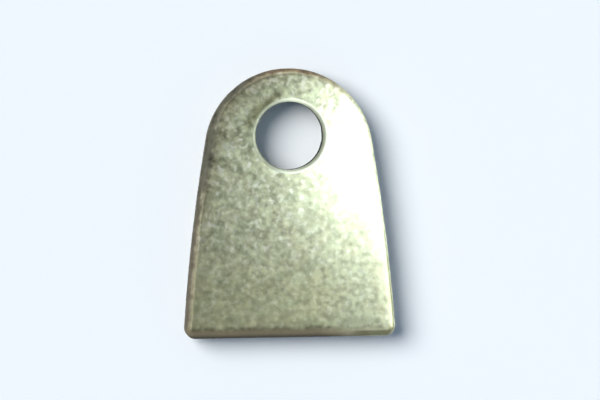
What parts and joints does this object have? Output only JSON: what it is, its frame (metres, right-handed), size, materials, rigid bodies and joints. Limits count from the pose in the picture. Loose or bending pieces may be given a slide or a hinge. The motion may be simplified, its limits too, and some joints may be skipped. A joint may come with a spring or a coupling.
{
  "type": "triangle bracket",
  "caption": "Flat steel weld-on bracket with a straight base edge, gently bowed tapering sides, a round nose and a bolt hole near the nose.",
  "frame": {"origin": "middle of the outline's bounding box, on the flat back face that the plate lies on", "axes": "+Z out of the front face and along the bolt hole, +Y from the straight weld edge to the round nose, +X to the right seen from the front"},
  "size_m": [0.04, 0.0508, 0.0063],
  "materials": {
    "tumbled_steel": "bare mild steel, barrel-tumbled to a fine speckled satin, greenish grey"
  },
  "bodies": {
    "root": {"bracket_plate": "tumbled_steel"}
  },
  "joints": []
}
